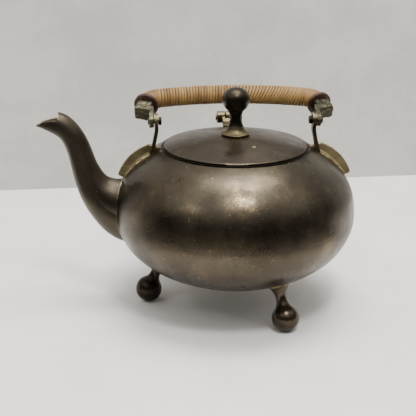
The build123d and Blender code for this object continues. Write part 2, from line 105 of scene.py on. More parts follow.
# Colours of the cane and of the binding at its ends.
CANE_BROWN_TURN = (0.19, 0.105, 0.034)
CANE_PALE_TURN = (0.44, 0.275, 0.088)
CANE_FIBRE = (0.24, 0.12, 0.045)
CANE_STAIN = (0.17, 0.075, 0.028)
CANE_EDGE = (0.06, 0.03, 0.014)
# Painted shade for the lower side of the cane's turns.
CANE_PAINTED_SHADE = (0.06, 0.034, 0.016)
BINDING_DARK = (0.020, 0.009, 0.006)
BINDING_MID = (0.075, 0.031, 0.018)
BINDING_RIM = (0.33, 0.17, 0.09)

# Colours round the pot.
TABLE_PALE = (0.93, 0.915, 0.90)
TABLE_SMUDGE = (0.87, 0.855, 0.84)
TABLE_UNLIT = (0.035, 0.033, 0.03)
WALL_PALE = (0.62, 0.61, 0.585)
WALL_SMUDGE = (0.54, 0.53, 0.505)
ROOM_LOW = (0.030, 0.029, 0.027)
ROOM_HIGH = (1.50, 1.48, 1.44)
BACKDROP = (0.70, 0.69, 0.67)
WINDOW_TINT = (1.0, 0.97, 0.92)
CEILING_TINT = (1.0, 0.985, 0.96)

# The patina's patterns, in waves or cells to a metre, and how deep and how uneven they are.
PATINA_SCALE = 24.0
PATCH_SCALE = 46.0
DENT_SCALE = 60.0
SHINE_SCALE = 70.0
RAGGED_SCALE = 160.0
RUB_SCALE = 300.0
SPECK_SCALE = 330.0
GRAIN_SCALE = 420.0
PIT_SCALE = 520.0
DOT_SCALE = 900.0
PIT_SHARE = 0.16
PIT_DEPTH = 0.12 * MM
ROUGHNESS_SWING = 0.07
SPECKLED_RADIUS = 16 * MM
BRIGHT_EAR_RADIUS = 10 * MM

# The stage and the lamps, in metres and watts.
STAGE_REACH = 4.0
WALL_HEIGHT = 2.0
MIRRORED_TABLE_REACH = 0.30
WINDOW_DISTANCE = 1.3
MAIN_WINDOW_SIZE = (0.24, 0.20)
MAIN_WINDOW_POWER = 9.0
SIDE_WINDOW_SIZE = (0.22, 0.18)
SIDE_WINDOW_POWER = 1.0
CEILING_PLACE = (0.1, 0.12, 1.5)
CEILING_SIZE = (0.9, 0.7)
CEILING_POWER = 30.0

# The spout's open lip, as in the solids: its middle, its edge, its tip and its horn.
LIP_MIDDLE = Vector((-96.0 * MM, 0.0, 127.0 * MM))
LIP_REACH = 22 * MM
LIP_EDGE = (
    (-89.85 * MM, 128.6 * MM),
    (-94.75 * MM, 128.4 * MM),
    (-99.85 * MM, 127.2 * MM),
    (-106.25 * MM, 123.6 * MM),
)
LIP_TIP_X = -103.9 * MM
HORN_X = -90.2 * MM
SPOUT_WALL = 1.3 * MM
LIP_STEPS = 20
HORN_STEPS = 16

# The handle's line, as in the solids: a long arch with a bend at each end, leaned back.
POT_X = 24.75 * MM
PIVOT_HEIGHT = 127.2 * MM
HANDLE_TILT = math.radians(72.3)
ARCH_HEIGHT = 34.5 * MM
ARCH_RADIUS = 250.0 * MM
ARCH_HALF_ANGLE = math.radians(11.6)
BEND_RADIUS = 10.0 * MM
END_TURN = math.radians(75.0)

# The ears' inner ends, which reach the seat ring.
EAR_THICKNESS = 2.4 * MM
EAR_TOE_INNER = 49.4 * MM
EAR_TOE_OUTER = 57.2 * MM
EAR_TOE_LOW = 109.6 * MM
EAR_TOE_HIGH = 111.8 * MM
EAR_TOE_SUNK = 0.3 * MM

# The steam hole, as in the solids, from the middle of the lid.
VENT_PLACE = (9.6 * MM, -24.6 * MM)
VENT_RIM_RADIUS = 0.95 * MM

# The beads of brazing: how thick they are, and where the search for each line starts.
SPOUT_ROOT = Vector((POT_X - 84 * MM, 0, 64 * MM))
SPOUT_ROOT_WIDE = 30 * MM
SPOUT_ROOT_TALL = 38 * MM
FOOT_TOP_DEPTH = 3 * MM
FOOT_TOP_REACH = 13 * MM
FOOT_TOP_DROP = -2 * MM
ABOVE_POT = 1.0
ABOVE_LID = 5 * MM
BESIDE_SPOUT = 20 * MM
BESIDE_EAR = 1.5 * MM
EAR_BEAD_SHORT = 2 * MM
BELOW_LIP = 0.4 * MM
SPOUT_SEAM_THICK = 0.55 * MM
FOOT_SEAM_THICK = 0.5 * MM
EAR_BEAD_THICK = 0.75 * MM
LIP_RIM_THICK = 0.8 * MM
VENT_RIM_THICK = 0.22 * MM
BEAD_NOISE = 700.0

# The cane: a flat strand wound close, over a thin underlay. Its half width and its wander are
# shares of a turn's width, and the places of its slant and its dark turns are shares of its length.
CANE_OUTER = 6.65 * MM
CANE_THICKNESS = 1.7 * MM
CANE_TURNS = 62
CANE_SEGMENTS = 36
CANE_CORNERS = 10
CANE_HALF_WIDTH = 0.49
CANE_WANDER = 0.10
CANE_LIFT = 0.12 * MM
CANE_UNDERLAY = 5.5 * MM
CANE_END_CLEARANCE = 0.6 * MM
CANE_SLANT = -3.6 * MM
CANE_SLANT_START = 0.45
CANE_SEED = 7
CANE_TONE = 0.62
CANE_TONE_SPREAD = 0.22
CANE_DARK_PLACE = 0.30
CANE_DARK_TURNS = 3
CANE_DARK_TONE = 0.3
CANE_END_TURNS = 9
CANE_END_TONE = 0.3

# Cast pieces that get a softer form: finish, body, slot, voxel, depth of the lumps, and how close
# the lumps are.
CASTINGS = {
    "handle_end_left": ("cast_brass", "handle", "cast_brass", 0.4 * MM, 0.5 * MM, 260.0),
    "ear_left": ("ear", "pot", "trim_brass", 0.4 * MM, 0.12 * MM, 200.0),
    "handle_end_right": ("cast_brass", "handle", "cast_brass", 0.4 * MM, 0.5 * MM, 260.0),
    "ear_right": ("ear", "pot", "trim_brass", 0.4 * MM, 0.12 * MM, 200.0),
    "hinge_bracket": ("trim_brass", "pot", "trim_brass", 0.35 * MM, 0.2 * MM, 300.0),
    "hinge_strap": ("trim_brass", "lid", "trim_brass", 0.35 * MM, 0.2 * MM, 300.0),
}
SOFTEN_ROUNDS = 5

# Solids whose finish isn't the plain one of their slot.
SPECIAL_FINISHES = {
    "post_left": "post",
    "post_right": "post",
    "finial_foot": "post",
    # Painted shade: the mouth ring is darkened for the gap under the lid's edge.
    "mouth_ring": "ring",
    "handle_pin_left": "pin",
    "handle_pin_right": "pin",
    "spout": "spout",
    "body_bowl": "sheet",
    "body_crown": "sheet",
}


def pixel_direction(pixel):
    """The direction from the camera through a pixel of the photograph."""
    centre = PHOTO_SIDE / 2
    across, down = pixel[0] - centre, pixel[1] - centre
    return (EYE_RIGHT * across - EYE_UP * down + EYE_FORWARD * FOCAL_PIXELS).normalized()


def floor_point(pixel):
    """Where a pixel's line meets the floor."""
    ray = pixel_direction(pixel)
    return EYE + ray * (-EYE.z / ray.z)


def surface_of(*names):
    """A search tree over the faces of one or more solids."""
    places, faces = [], []
    for name in names:
        mesh = nodes[name].data
        first = len(places)
        places += [v.co.copy() for v in mesh.vertices]
        faces += [tuple(first + v for v in face.vertices) for face in mesh.polygons]
    return BVHTree.FromPolygons(places, faces)


def spot_on(surface, pixel):
    """Where a pixel's line first meets a surface, with the normal there."""
    place, normal, _, _ = surface.ray_cast(EYE, pixel_direction(pixel))
    return place, normal


def add_camera():
    """The photograph's camera."""
    data = bpy.data.cameras.new("photo_camera")
    data.sensor_width = SENSOR_WIDTH
    data.lens = SENSOR_WIDTH * FOCAL_PIXELS / PHOTO_SIDE
    data.clip_start = CLIP_START
    camera = bpy.data.objects.new("photo_camera", data)
    turn = Matrix((EYE_RIGHT, EYE_UP, -EYE_FORWARD)).transposed().to_4x4()
    camera.matrix_world = Matrix.Translation(EYE) @ turn
    bpy.context.scene.collection.objects.link(camera)
    bpy.context.scene.camera = camera


# Node helpers.


def node(tree, kind, inputs=None, **settings):
    """A shader node with its settings made and its inputs linked or filled."""
    made = tree.nodes.new(kind)
    for key, value in settings.items():
        setattr(made, key, value)
    for key, value in (inputs or {}).items():
        if isinstance(value, bpy.types.NodeSocket):
            tree.links.new(value, made.inputs[key])
        else:
            made.inputs[key].default_value = value
    return made


def new_material(name):
    """An empty material: its tree and its Principled shader."""
    material = bpy.data.materials.new(name)
    material.use_nodes = True
    tree = material.node_tree
    tree.nodes.clear()
    shader = node(tree, "ShaderNodeBsdfPrincipled")
    node(tree, "ShaderNodeOutputMaterial", {"Surface": shader.outputs[0]})
    return material, tree, shader


def position(tree):
    """The place on the object, in metres."""
    return node(tree, "ShaderNodeTexCoord").outputs["Object"]


def scaled(tree, place, scale):
    """The place stretched by a factor for each axis, for streaks."""
    return node(tree, "ShaderNodeMapping", {"Vector": place, "Scale": scale}).outputs[0]


def cloud(tree, place, scale, detail=4.0, roughness=0.55):
    """Soft noise, with its scale in waves to a metre."""
    inputs = {"Vector": place, "Scale": scale, "Detail": detail, "Roughness": roughness}
    return node(tree, "ShaderNodeTexNoise", inputs).outputs[0]


def spread(tree, value, low, high, out_low=0.0, out_high=1.0):
    """The value mapped from one range to another, smoothly and clamped."""
    inputs = {0: value, 1: low, 2: high, 3: out_low, 4: out_high}
    made = node(tree, "ShaderNodeMapRange", inputs, interpolation_type="SMOOTHSTEP")
    return made.outputs[0]


def math_of(tree, operation, first, second=0.0):
    """One sum on two values, kept between nothing and one."""
    made = node(tree, "ShaderNodeMath", {0: first, 1: second}, operation=operation, use_clamp=True)
    return made.outputs[0]


def sum_of(tree, *values):
    """Values added up, to one at most."""
    total = values[0]
    for value in values[1:]:
        total = math_of(tree, "ADD", total, value)
    return total


def times(tree, first, second):
    """Two values multiplied."""
    return math_of(tree, "MULTIPLY", first, second)


def blend(tree, factor, first, second, kind="MIX"):
    """Two colours mixed by a factor."""
    inputs = {0: factor, 6: colour_of(first), 7: colour_of(second)}
    return node(tree, "ShaderNodeMix", inputs, data_type="RGBA", blend_type=kind).outputs[2]


def colour_of(value):
    """A colour that a socket takes: a link as it is, three numbers made opaque."""
    return value if isinstance(value, bpy.types.NodeSocket) else (*value, 1.0)


def spots(tree, place, scale, size, share):
    """Round spots in some of the cells of a random pattern."""
    cells = node(tree, "ShaderNodeTexVoronoi", {"Vector": place, "Scale": scale})
    chance = node(tree, "ShaderNodeSeparateColor", {0: cells.outputs["Color"]}).outputs[0]
    chosen = math_of(tree, "LESS_THAN", chance, share)
    round_part = spread(tree, cells.outputs["Distance"], size, size * 0.55)
    return times(tree, chosen, round_part)


def near(tree, place, centre, radius):
    """One at a place on the object, fading to nothing at the radius."""
    distance = node(tree, "ShaderNodeVectorMath", {0: place, 1: centre}, operation="DISTANCE")
    return spread(tree, distance.outputs["Value"], radius, 0.0)


def inner_lip(tree, place):
    """One on the inside of the spout's lip, whose faces look back across the middle: where its painted
    light goes.
    """
    facing = node(tree, "ShaderNodeNewGeometry").outputs["Normal"]
    across = node(tree, "ShaderNodeSeparateXYZ", {0: place}).outputs[1]
    turned = node(tree, "ShaderNodeSeparateXYZ", {0: facing}).outputs[1]
    product = node(tree, "ShaderNodeMath", {0: across, 1: turned}, operation="MULTIPLY").outputs[0]
    inside = spread(tree, product, -0.0002, -0.0008)
    return times(tree, inside, near(tree, place, LIP_MIDDLE, LIP_REACH))


def edge_wear(tree, reach):
    """One on sharp outer edges, where hands and cloths rub."""
    bevel = node(tree, "ShaderNodeBevel", {"Radius": reach}, samples=6)
    plain = node(tree, "ShaderNodeNewGeometry").outputs["Normal"]
    pair = {0: bevel.outputs[0], 1: plain}
    same = node(tree, "ShaderNodeVectorMath", pair, operation="DOT_PRODUCT")
    return spread(tree, same.outputs["Value"], 0.99, 0.86)


def bumped(tree, height, distance, strength=1.0, below=None):
    """The surface's normal raised by a height, on top of another bump if there is one."""
    inputs = {"Height": height, "Distance": distance, "Strength": strength}
    if below is not None:
        inputs["Normal"] = below
    return node(tree, "ShaderNodeBump", inputs).outputs[0]


# Materials.


def aged_brass(name, dark, mid, worn, rough, patch=0.5, edge=0.6, speck=0.1, lumps=0.06 * MM,
               streaks=(1.0, 1.0, 1.0), zones=(), edge_reach=0.7 * MM, lip=False, metal=0.94):
    """Old brass: a cloudy patina, specks and pits, clean metal where it is rubbed, and painted light
    inside a spout's lip when asked.
    """
    material, tree, shader = new_material(name)
    place = position(tree)
    streaky = scaled(tree, place, streaks)
    tone = spread(tree, cloud(tree, place, PATINA_SCALE, 6.0), 0.36, 0.66)
    fine = cloud(tree, streaky, GRAIN_SCALE, 5.0, 0.65)
    colour = blend(tree, tone, dark, mid)
    colour = blend(tree, spread(tree, fine, 0.3, 0.7, 0.0, 0.35), colour, dark)
    zone = None
    for centre, radius in zones:
        mask = near(tree, place, centre, radius)
        zone = mask if zone is None else sum_of(tree, zone, mask)
    patches = spread(tree, cloud(tree, streaky, PATCH_SCALE, 8.0, 0.68), 0.54, 0.72)
    patches = times(tree, patches, patch)
    share = speck if zone is None else sum_of(tree, speck, times(tree, zone, 0.8))
    specks = spots(tree, place, SPECK_SCALE, 0.16, share)
    dots = spots(tree, place, DOT_SCALE, 0.24, share)
    rubbed = times(tree, edge_wear(tree, edge_reach), edge)
    rubbed = times(tree, rubbed, spread(tree, cloud(tree, place, RUB_SCALE), 0.3, 0.6, 0.3, 1.0))
    clean = sum_of(tree, patches, times(tree, specks, 0.8), times(tree, dots, 0.7), rubbed)
    if zone is not None:
        ragged = spread(tree, cloud(tree, place, RAGGED_SCALE, 8.0, 0.7), 0.42, 0.66)
        clean = sum_of(tree, clean, times(tree, times(tree, zone, ragged), 0.5))
    colour = blend(tree, clean, colour, worn)
    pits = spots(tree, place, PIT_SCALE, 0.22, PIT_SHARE)
    colour = blend(tree, times(tree, pits, 0.6), colour, tuple(c * 0.4 for c in dark))
    # Painted light: inside the spout's lip the colour turns pale and less metallic, standing in for
    # light.
    if lip:
        inside = inner_lip(tree, place)
        colour = blend(tree, inside, colour, INNER_LIP_PAINTED_LIGHT)
        tree.links.new(spread(tree, inside, 0.0, 1.0, metal, 0.25), shader.inputs["Metallic"])
    else:
        shader.inputs["Metallic"].default_value = metal
    tree.links.new(colour, shader.inputs["Base Color"])
    shine = cloud(tree, streaky, SHINE_SCALE, 6.0, 0.6)
    smooth, coarse = rough - ROUGHNESS_SWING, rough + ROUGHNESS_SWING
    tree.links.new(spread(tree, shine, 0.3, 0.7, smooth, coarse), shader.inputs["Roughness"])
    dents = bumped(tree, cloud(tree, place, DENT_SCALE, 3.0), lumps * 6, 0.5)
    grain = bumped(tree, fine, lumps, 0.7, dents)
    hollow = math_of(tree, "SUBTRACT", 1.0, pits)
    tree.links.new(bumped(tree, hollow, PIT_DEPTH, 0.8, grain), shader.inputs["Normal"])
    return material


def cane_material():
    """Split cane: pale tan, long fibres along the strand, some turns and edges darker, and painted
    shade on the lower side of each turn.
    """
    material, tree, shader = new_material("cane")
    turn = node(tree, "ShaderNodeAttribute", attribute_name="turn_tone").outputs["Fac"]
    along = node(tree, "ShaderNodeAttribute", attribute_name="strand").outputs["Vector"]
    pale = blend(tree, turn, CANE_BROWN_TURN, CANE_PALE_TURN)
    fibre = cloud(tree, scaled(tree, along, (0.35, 5.0, 1.0)), 3.0, 5.0, 0.6)
    colour = blend(tree, spread(tree, fibre, 0.42, 0.66, 0.0, 0.55), pale, CANE_FIBRE)
    stain = spread(tree, cloud(tree, position(tree), 120.0, 4.0), 0.52, 0.7, 0.0, 0.55)
    colour = blend(tree, stain, colour, CANE_STAIN)
    side = node(tree, "ShaderNodeSeparateXYZ", {0: along}).outputs[2]
    colour = blend(tree, spread(tree, side, 0.72, 1.0, 0.0, 0.9), colour, CANE_EDGE)
    # Painted shade: the lower side of each turn is darkened.
    under = node(tree, "ShaderNodeAttribute", attribute_name="painted_underside_shade").outputs["Fac"]
    colour = blend(tree, spread(tree, under, 0.1, 0.95, 0.0, 0.75), colour, CANE_PAINTED_SHADE)
    tree.links.new(colour, shader.inputs["Base Color"])
    shader.inputs["Roughness"].default_value = 0.62
    tree.links.new(bumped(tree, fibre, 0.12 * MM, 0.6), shader.inputs["Normal"])
    return material


def binding_material():
    """Dark red-brown lacquered binding, rubbed pale at the rim."""
    material, tree, shader = new_material("binding")
    place = position(tree)
    grain = cloud(tree, scaled(tree, place, (4.0, 1.0, 1.0)), 300.0, 5.0, 0.6)
    colour = blend(tree, spread(tree, grain, 0.35, 0.65), BINDING_DARK, BINDING_MID)
    rim = times(tree, edge_wear(tree, 0.8 * MM), 0.35)
    colour = blend(tree, rim, colour, BINDING_RIM)
    tree.links.new(colour, shader.inputs["Base Color"])
    tree.links.new(spread(tree, grain, 0.3, 0.7, 0.38, 0.6), shader.inputs["Roughness"])
    tree.links.new(bumped(tree, grain, 0.2 * MM, 0.5), shader.inputs["Normal"])
    return material


def solder_material():
    """Bright brazing metal, yellow where it is rubbed and grey in its hollows."""
    material, tree, shader = new_material("brazing")
    place = position(tree)
    tone = spread(tree, cloud(tree, place, 260.0, 5.0, 0.65), 0.38, 0.6)
    colour = blend(tree, tone, BRAZING_DARK, BRAZING_BRIGHT)
    tree.links.new(colour, shader.inputs["Base Color"])
    shader.inputs["Metallic"].default_value = 0.9
    tree.links.new(spread(tree, tone, 0.0, 1.0, 0.55, 0.33), shader.inputs["Roughness"])
    grain = cloud(tree, place, 900.0, 3.0)
    tree.links.new(bumped(tree, grain, 0.2 * MM, 0.6), shader.inputs["Normal"])
    return material


def seam_material():
    """The thin line of older brazing round the spout and the feet."""
    material, tree, shader = new_material("old_seam")
    place = position(tree)
    tone = spread(tree, cloud(tree, place, 180.0, 5.0, 0.65), 0.36, 0.64)
    colour = blend(tree, tone, SEAM_DARK, SEAM_BRIGHT)
    tree.links.new(colour, shader.inputs["Base Color"])
    shader.inputs["Metallic"].default_value = 0.9
    shader.inputs["Roughness"].default_value = 0.42
    grain = cloud(tree, place, 800.0, 3.0)
    tree.links.new(bumped(tree, grain, 0.15 * MM, 0.5), shader.inputs["Normal"])
    return material


def slot_materials(body):
    """The finishes: one for each of the record's slots, and some for single pieces."""
    speckled = spot_on(body, SPECKLED_PIXEL)[0]
    by_ear = spot_on(body, BRIGHT_EAR_PIXEL)[0]
    return {
        "body_brass": aged_brass(
            "body_brass", BODY_DARK, BODY_MID, BODY_WORN, 0.33, patch=0.14, edge=0.5, speck=0.05),
        # The spout's finish carries painted light inside its lip.
        "spout": aged_brass(
            "spout_brass", SPOUT_DARK, SPOUT_MID, SPOUT_WORN, 0.43,
            patch=0.16, edge=0.6, speck=0.06, lip=True),
        "sheet": aged_brass(
            "sheet_brass", BODY_DARK, BODY_MID, BODY_WORN, 0.33, patch=0.14, edge=0.0, speck=0.11,
            zones=((speckled, SPECKLED_RADIUS), (by_ear, BRIGHT_EAR_RADIUS))),
        "trim_brass": aged_brass(
            "trim_brass", TRIM_DARK, TRIM_MID, TRIM_WORN, 0.42, patch=0.35, edge=0.7, speck=0.08),
        "ear": aged_brass(
            "ear_brass", EAR_DARK, EAR_MID, EAR_WORN, 0.42,
            patch=0.4, edge=0.6, speck=0.08, streaks=(1.0, 1.0, 5.0), metal=0.7),
        "knob_brass": aged_brass(
            "knob_brass", KNOB_DARK, KNOB_MID, KNOB_WORN, 0.32, patch=0.12, edge=0.4, speck=0.03),
        "cast_brass": aged_brass(
            "cast_brass", CAST_DARK, CAST_MID, CAST_WORN, 0.50,
            patch=0.22, edge=0.7, speck=0.10, lumps=0.22 * MM, edge_reach=0.9 * MM),
        "post": aged_brass(
            "post_brass", POST_DARK, POST_MID, POST_WORN, 0.44,
            patch=0.35, edge=0.6, speck=0.10, lumps=0.15 * MM, streaks=(1.0, 1.0, 0.3)),
        "pin": aged_brass(
            "pin_brass", PIN_DARK, PIN_MID, PIN_WORN, 0.5, patch=0.1, edge=0.3, speck=0.04),
        # Painted shade on the mouth ring, for the dark gap between the lid and the body.
        "ring": aged_brass(
            "seat_ring_painted_shade", RING_PAINTED_SHADE_DARK, RING_PAINTED_SHADE_MID, RING_PAINTED_SHADE_WORN, 0.5, patch=0.05, edge=0.15, speck=0.03),
        "cane": cane_material(),
        "binding": binding_material(),
    }


# Pieces.


def link(name, mesh, material, body):
    """A finished piece on its CAD body, with its material."""
    piece = bpy.data.objects.new(name, mesh)
    bpy.context.scene.collection.objects.link(piece)
    mesh.materials.clear()
    mesh.materials.append(material)
    mesh.shade_smooth()
    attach(piece, body)
    return piece


def skin(name, rings, closed):
    """A smooth mesh through rings of points, its ends capped unless it closes."""
    side = len(rings[0])
    places = [place for ring in rings for place in ring]
    faces = []
    spans = len(rings) if closed else len(rings) - 1
    for span in range(spans):
        here = span * side
        ahead = (span + 1) % len(rings) * side
        for step in range(side):
            after = (step + 1) % side
            faces.append((here + step, here + after, ahead + after, ahead + step))
    if not closed:
        faces.append(tuple(reversed(range(side))))
        faces.append(tuple(range(spans * side, (spans + 1) * side)))
    mesh = bpy.data.meshes.new(name)
    mesh.from_pydata(places, [], faces)
    mesh.update()
    return mesh


def handle_line(distance):
    """Point, run and outward normal on the handle's line, a distance from its top."""
    flat = ARCH_HALF_ANGLE * ARCH_RADIUS
    sign = -1 if distance < 0 else 1
    along = abs(distance)
    if along <= flat:
        turn = along / ARCH_RADIUS
        radius = ARCH_RADIUS
        centre_x, centre_z = 0.0, ARCH_HEIGHT - ARCH_RADIUS
    else:
        turn = ARCH_HALF_ANGLE + (along - flat) / BEND_RADIUS
        radius = BEND_RADIUS
        inner = ARCH_RADIUS - BEND_RADIUS
        centre_x = inner * math.sin(ARCH_HALF_ANGLE)
        centre_z = ARCH_HEIGHT - ARCH_RADIUS + inner * math.cos(ARCH_HALF_ANGLE)
    normal = Vector((sign * math.sin(turn), 0, math.cos(turn)))
    point = Vector((sign * centre_x, 0, centre_z)) + normal * radius
    run = Vector((math.cos(turn), 0, -sign * math.sin(turn)))
    return point, run, normal


def handle_length():
    """Half the length of the wound line, from its top to an end ring."""
    arch = ARCH_HALF_ANGLE * ARCH_RADIUS
    return arch + (END_TURN - ARCH_HALF_ANGLE) * BEND_RADIUS


def leaned():
    """The move that leans the upright handle back into its place."""
    return Matrix.Translation((POT_X, 0, PIVOT_HEIGHT)) @ Matrix.Rotation(-HANDLE_TILT, 4, "X")


def cane_winding(material):
    """The strand itself: one long helix of flat cane, its turns a little uneven."""
    rng = random.Random(CANE_SEED)
    reach = handle_length() - CANE_END_CLEARANCE
    width = 2 * reach / CANE_TURNS
    jitter = [rng.uniform(-CANE_WANDER, CANE_WANDER) * width for _ in range(CANE_TURNS + 2)]
    shades = [rng.gauss(CANE_TONE, CANE_TONE_SPREAD) for _ in range(CANE_TURNS + 2)]
    shades = [min(1.0, max(0.0, shade)) for shade in shades]
    first_dark = int(CANE_TURNS * CANE_DARK_PLACE)
    for turn in range(first_dark, first_dark + CANE_DARK_TURNS):
        shades[turn] *= CANE_DARK_TONE
    for turn in range(CANE_END_TURNS):
        fade = CANE_END_TONE + (1 - CANE_END_TONE) * turn / CANE_END_TURNS
        shades[turn] *= fade
        shades[CANE_TURNS - turn] *= fade
    to_place = leaned()
    middle_radius = CANE_OUTER - CANE_THICKNESS / 2
    rings, tones, strand, under = [], [], [], []
    for step in range(CANE_TURNS * CANE_SEGMENTS + 1):
        turns = step / CANE_SEGMENTS
        whole = int(turns)
        part = turns - whole
        angle = TURN * turns
        offset = jitter[whole] * (1 - part) + jitter[whole + 1] * part
        share = turns / CANE_TURNS
        late = max(0.0, share - CANE_SLANT_START) / (1 - CANE_SLANT_START)
        slant = CANE_SLANT * math.sin(math.pi * late) ** 2
        distance = -reach + width * turns + offset + slant * math.sin(angle)
        distance = max(-reach, min(reach, distance))
        point, run, normal = handle_line(distance)
        out = normal * math.cos(angle) + BACKWARD * math.sin(angle)
        lift = CANE_LIFT * noise.noise(Vector((turns * 3.0, 1.5, 0.0)))
        centre = point + out * (middle_radius + lift - CANE_LIFT)
        wide = width * CANE_HALF_WIDTH
        ring = []
        for corner in range(CANE_CORNERS):
            bend = TURN * corner / CANE_CORNERS
            across = run * (math.cos(bend) * wide)
            up = out * (math.sin(bend) * CANE_THICKNESS / 2)
            ring.append(to_place @ (centre + across + up))
            tones.append(shades[whole] * (1 - part) + shades[whole + 1] * part)
            strand.append((turns * 6.0, bend, abs(math.cos(bend))))
            # How far this point faces down once the handle leans back, which sets the painted shade.
            under.append(math.sin(angle))
        rings.append(ring)
    mesh = skin("cane_winding", rings, closed=False)
    tone = mesh.attributes.new("turn_tone", "FLOAT", "POINT")
    tone.data.foreach_set("value", tones)
    underside_shade_layer = mesh.attributes.new("painted_underside_shade", "FLOAT", "POINT")
    underside_shade_layer.data.foreach_set("value", under)
    along = mesh.attributes.new("strand", "FLOAT_VECTOR", "POINT")
    along.data.foreach_set("vector", [value for place in strand for value in place])
    piece = link("cane_winding", mesh, material, "handle")
    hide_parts("cane_wrap")
    return piece


def cane_underlay(material):
    """The dark layer under the strand, seen between its turns."""
    to_place = leaned()
    reach = handle_length() - CANE_END_CLEARANCE / 2
    stations, side = 90, 24
    rings = []
    for step in range(stations + 1):
        point, _, normal = handle_line(-reach + 2 * reach * step / stations)
        ring = []
        for corner in range(side):
            angle = TURN * corner / side
            out = normal * math.cos(angle) + BACKWARD * math.sin(angle)
            ring.append(to_place @ (point + out * CANE_UNDERLAY))
        rings.append(ring)
    mesh = skin("cane_underlay", rings, closed=False)
    return link("cane_underlay", mesh, material, "handle")


def cast_copy(name, material, body, voxel, lump, grain):
    """A softer, lumpier form of a cast solid, standing in its place."""
    source = bpy.data.objects.new(name + "_form", nodes[name].data.copy())
    bpy.context.scene.collection.objects.link(source)
    remesh = source.modifiers.new("even", "REMESH")
    remesh.mode = "VOXEL"
    remesh.voxel_size = voxel
    smooth = source.modifiers.new("soften", "SMOOTH")
    smooth.factor = 0.5
    smooth.iterations = SOFTEN_ROUNDS
    bpy.context.view_layer.update()
    graph = bpy.context.evaluated_depsgraph_get()
    mesh = bpy.data.meshes.new_from_object(source.evaluated_get(graph))
    bpy.data.objects.remove(source)
    shifts = []
    for vertex in mesh.vertices:
        rough = noise.fractal(vertex.co * grain, 0.8, 2.0, 4)
        shifts.append(vertex.normal * (rough * lump - lump * 0.4))
    for vertex, shift in zip(mesh.vertices, shifts):
        vertex.co += shift
    piece = link(name + "_form", mesh, material, body)
    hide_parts(name)
    return piece


def meeting_point(first, second, start):
    """The corner where two surfaces meet, found from a place outside both."""
    place = start
    for _ in range(40):
        place = first.find_nearest(place)[0]
        place = second.find_nearest(place)[0]
    return place


def bead(name, path, radius, closed, material, uneven=0.25, section=8):
    """A thin bead of metal along a path, thicker and thinner along its length."""
    rings = []
    count = len(path)
    for step, place in enumerate(path):
        before = path[(step - 1) % count] if closed or step > 0 else place
        after = path[(step + 1) % count] if closed or step < count - 1 else place
        run = (after - before).normalized()
        if abs(run.z) < 0.98:
            first = (Vector((0, 0, 1)) - run * run.z).normalized()
        else:
            first = run.orthogonal().normalized()
        second = run.cross(first)
        thick = radius * (1 + uneven * noise.noise(place * BEAD_NOISE))
        if not closed:
            thick *= min(1.0, 0.35 + 3.0 * min(step, count - 1 - step) / count)
        ring = []
        for corner in range(section):
            angle = TURN * corner / section
            ring.append(place + (first * math.cos(angle) + second * math.sin(angle)) * thick)
        rings.append(ring)
    return link(name, skin(name, rings, closed), material, "pot")


def smoothed(path, closed, rounds=3):
    """The path with its small kinks evened out."""
    for _ in range(rounds):
        count = len(path)
        eased = []
        for step, place in enumerate(path):
            if not closed and step in (0, count - 1):
                eased.append(place)
                continue
            eased.append(place * 0.5 + (path[step - 1] + path[(step + 1) % count]) * 0.25)
        path = eased
    return path


def spout_seam(body, material):
    """The line of brazing round the spout's root."""
    spout = surface_of("spout")
    path = []
    steps = 96
    for step in range(steps):
        angle = TURN * step / steps
        across = math.sin(angle) * SPOUT_ROOT_WIDE
        up = math.cos(angle) * SPOUT_ROOT_TALL
        path.append(meeting_point(spout, body, SPOUT_ROOT + Vector((0, across, up))))
    bead("spout_seam", smoothed(path, True), SPOUT_SEAM_THICK, True, material, uneven=0.5)


def ear_beads(side_name, side, body, material):
    """A bright bead along each edge of an ear's flange."""
    ear = surface_of("ear_" + side_name)
    low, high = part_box("ear_" + side_name)
    inner = high.x if side < 0 else low.x
    outer = low.x if side < 0 else high.x
    for name, y in (("front", low.y - BESIDE_EAR), ("back", high.y + BESIDE_EAR)):
        path = []
        steps = 60
        for step in range(steps + 1):
            x = inner + (outer - side * EAR_BEAD_SHORT - inner) * step / steps
            top = body.ray_cast(Vector((x, y, ABOVE_POT)), DOWN)[0]
            if top is None:
                continue
            path.append(meeting_point(ear, body, top - DOWN * MM))
        path = smoothed(path, False)
        bead(f"ear_bead_{side_name}_{name}", path, EAR_BEAD_THICK, False, material, uneven=0.6)


def lip_height(x):
    """Height of the lip's edge at a place along X."""
    for (x0, z0), (x1, z1) in zip(LIP_EDGE, LIP_EDGE[1:]):
        if x1 <= x <= x0:
            return z0 + (z1 - z0) * (x - x0) / (x1 - x0)
    return LIP_EDGE[-1][1]


def lip_rim(material):
    """The rounded rim round the spout's open lip and over its horn."""
    spout = surface_of("spout")
    inset = SPOUT_WALL / 2
    far_side = []
    root_x, root_z = LIP_EDGE[0]
    for step in range(LIP_STEPS + 1):
        x = root_x + (LIP_TIP_X - root_x) * math.sin(math.pi / 2 * step / LIP_STEPS)
        z = lip_height(x)
        hit = spout.ray_cast(Vector((x, BESIDE_SPOUT, z - BELOW_LIP)), -BACKWARD)[0]
        if hit is not None and hit.y > 0:
            far_side.append(Vector((x, max(hit.y - inset, 0.0), z)))
    near_side = [Vector((p.x, -p.y, p.z)) for p in reversed(far_side)]
    horn = []
    middle = Vector((HORN_X, 0, root_z))
    for step in range(1, HORN_STEPS):
        angle = math.pi * step / HORN_STEPS
        out = Vector((0, -math.cos(angle), math.sin(angle)))
        hit = spout.ray_cast(middle + out * BESIDE_SPOUT, -out)[0]
        if hit is not None:
            horn.append(hit - out * inset)
    path = smoothed(far_side + near_side + horn, True, 2)
    bead("lip_rim", path, LIP_RIM_THICK, True, material, uneven=0.15)


